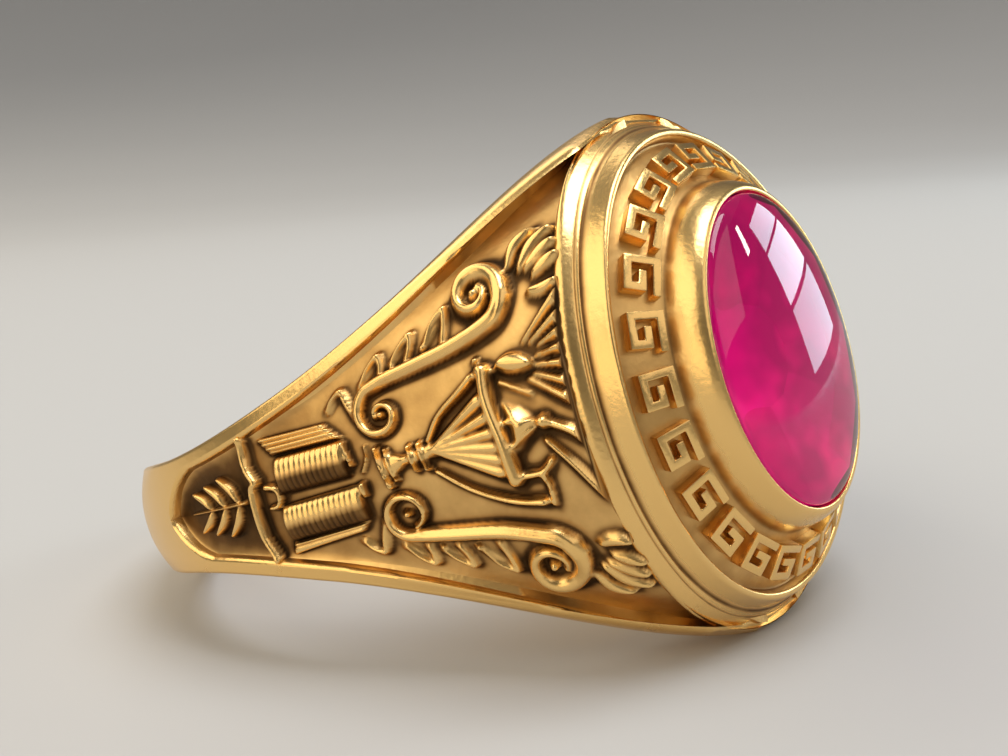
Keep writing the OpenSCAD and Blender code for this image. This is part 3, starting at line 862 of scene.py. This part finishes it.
def stone():
    around = 192
    turn = np.linspace(0, 2 * math.pi, around, endpoint=False)

    def oval(reach, height):
        return np.stack([0 * turn + height, reach * STONE_RATIO * np.sin(turn), reach * np.cos(turn)], -1)

    arc = np.radians(np.arange(88, 0, -2.5))
    smooth = [(math.cos(t) * DOME_HALF, DOME_FOOT + DOME_RISE * math.sin(t)) for t in arc]
    smooth += [(DOME_HALF, DOME_WALL_TOP), (DOME_HALF, GIRDLE_TOP)]
    smooth += [(STONE_HALF, GIRDLE_TOP), (STONE_HALF, GIRDLE_LOW)]
    pitch = 2 * math.pi / FACET_COUNT
    from_middle = (turn % pitch) - pitch / 2
    rows = [oval(r, height) for r, height in smooth]
    rows += [oval(r * math.cos(pitch / 2) / np.cos(from_middle), height) for r, height in FACET_RINGS]
    points = np.stack(rows, 1)
    return cast_piece("domed_stone", lay_down(points), turned_faces(around, len(rows)), None, 20)


# Colours of the cloudy light that comes back from the facets, dark and bright
FACET_SHADES = ((0.4, (0.36, 0.0, 0.13, 1)), (0.66, (0.92, 0.0, 0.38, 1)))
CLOUD_SCALE = 540


def ruby():
    """Clear red for the dome, and for the facets a cloudy metallic red with a weak glow,
    which stands in for the light that cut facets send back."""
    clear = bpy.data.materials.new("ruby_dome")
    clear.use_nodes = True
    shader = clear.node_tree.nodes["Principled BSDF"]
    shader.inputs["Base Color"].default_value = (1.0, 0.01, 0.48, 1)
    shader.inputs["Transmission Weight"].default_value = 1
    shader.inputs["IOR"].default_value = 1.5
    shader.inputs["Roughness"].default_value = 0.02
    back = bpy.data.materials.new("ruby_facets")
    back.use_nodes = True
    tree = back.node_tree
    shader = tree.nodes["Principled BSDF"]
    where = linked(tree, "ShaderNodeTexCoord", (-900, 200))
    clouds = clouded(tree, where, CLOUD_SCALE, 2, (-700, 200))
    tree.links.new(shaded(tree, clouds, FACET_SHADES, (-450, 200)), shader.inputs["Base Color"])
    shader.inputs["Metallic"].default_value = 1
    shader.inputs["Roughness"].default_value = 0.58
    shader.inputs["Emission Color"].default_value = (1.0, 0.0, 0.40, 1)
    shader.inputs["Emission Strength"].default_value = 0.25
    return clear, back


def set_stone():
    piece = stone()
    for finish in ruby():
        piece.data.materials.append(finish)
    for face in piece.data.polygons:
        middle = face.center - finger_at
        up = middle.x * finger_axis.z - middle.z * finger_axis.x
        if up < FACETS_BELOW * MM:
            face.material_index = 1
    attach(piece, "root")
    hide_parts("stone")


set_stone()


# Floor
# A pale matte sheet of paper that the ring lies on. It is flat round the ring and runs
# up into a round backdrop. Both radii are in metres.
FLAT_R = 0.3
COVE_R = 0.9


def floor():
    around = 96
    turns = np.linspace(0, 2 * math.pi, around, endpoint=False)
    cove = np.radians(np.arange(5, 91, 5))
    profile = [(FLAT_R, 0)] + [(FLAT_R + COVE_R * math.sin(t), COVE_R - COVE_R * math.cos(t)) for t in cove]
    points = [(0, 0, 0)]
    for r, z in profile:
        points += [(r * math.cos(t), r * math.sin(t), z) for t in turns]
    following = [(i + 1) % around for i in range(around)]
    faces = [(0, 1 + i, 1 + n) for i, n in enumerate(following)]
    for ring in range(len(profile) - 1):
        a = 1 + ring * around
        faces += [(a + i, a + around + i, a + around + n, a + n) for i, n in enumerate(following)]
    mesh = bpy.data.meshes.new("floor")
    mesh.from_pydata(points, [], faces)
    mesh.polygons.foreach_set("use_smooth", [True] * len(mesh.polygons))
    sheet = bpy.data.objects.new("floor", mesh)
    bpy.context.scene.collection.objects.link(sheet)
    pale = bpy.data.materials.new("pale_paper")
    pale.use_nodes = True
    shader = pale.node_tree.nodes["Principled BSDF"]
    shader.inputs["Base Color"].default_value = (0.52, 0.51, 0.50, 1)
    shader.inputs["Roughness"].default_value = 0.9
    shader.inputs["Specular IOR Level"].default_value = 0.2
    mesh.materials.append(pale)


floor()


# Camera
# Close to the shoulder and a little above the floor, as the photograph was taken. Its
# place is in millimetres and its directions are shares, toward the head, across and
# along the finger.
EYE = (31.118, -30.325, 1.941)
SIGHT = (-0.6726, 0.7399, -0.0143)
UPWARD = (0.1963, 0.1971, 0.9605)
LENS = 40.04
SENSOR = 36


def camera():
    data = bpy.data.cameras.new("camera")
    data.lens = LENS
    data.sensor_width = SENSOR
    data.clip_start = MM
    holder = bpy.data.objects.new("camera", data)
    bpy.context.scene.collection.objects.link(holder)
    middle = Vector(lay_down((0, 0, 0)))
    sight = (Vector(lay_down(SIGHT)) - middle).normalized()
    up = (Vector(lay_down(UPWARD)) - middle).normalized()
    right = sight.cross(up).normalized()
    turned = Matrix((right, right.cross(sight), -sight)).transposed().to_4x4()
    holder.matrix_world = Matrix.Translation(Vector(lay_down(EYE))) @ turned
    bpy.context.scene.camera = holder


camera()


# Light
# Warm soft boxes in front, above the shoulder, to the left and to the right, and a large
# cool one overhead. The stone mirrors a window of three panes, one above the other, and
# a small narrow lamp beside it.
def soft_box(name, azimuth, height, distance, size, watts, colour):
    """A rectangular light that faces the ring. Its place is two angles in degrees and a
    distance in metres, and its size is in metres."""
    data = bpy.data.lights.new(name, "AREA")
    data.shape = "RECTANGLE"
    data.size, data.size_y = size
    data.energy = watts
    data.color = colour
    box = bpy.data.objects.new(name, data)
    bpy.context.scene.collection.objects.link(box)
    a, h = math.radians(azimuth), math.radians(height)
    out = Vector((math.cos(h) * math.cos(a), math.cos(h) * math.sin(a), math.sin(h)))
    facing = out.to_track_quat("Z", "Y").to_matrix().to_4x4()
    box.matrix_world = Matrix.Translation(out * distance) @ facing


soft_box("front", -86, 12, 0.5, (0.5, 0.22), 0.46, (1.0, 0.86, 0.62))
soft_box("key", -118, 47, 0.5, (0.76, 0.34), 1.3, (1.0, 0.91, 0.72))
soft_box("left", 165, 46, 0.5, (0.46, 0.24), 0.6, (1.0, 0.93, 0.80))
soft_box("right", 12, 33, 0.5, (0.5, 0.26), 0.36, (1.0, 0.92, 0.84))
soft_box("overhead", 30, 76, 0.6, (0.36, 0.36), 2.4, (0.93, 0.96, 1.0))
for tilt, watts in ((6, 0.06), (14, 0.1), (22, 0.085)):
    soft_box("window", 68, tilt, 0.35, (0.1, 0.045), watts, (0.66, 0.88, 1.0))
soft_box("lamp", 52, 27, 0.35, (0.012, 0.06), 0.04, (1.0, 0.97, 0.9))

studio = bpy.data.worlds.new("studio")
studio.use_nodes = True
surround = studio.node_tree.nodes["Background"]
surround.inputs["Color"].default_value = (0.90, 0.88, 0.86, 1)
surround.inputs["Strength"].default_value = 0.22
bpy.context.scene.world = studio
bpy.context.scene.view_settings.view_transform = "Standard"
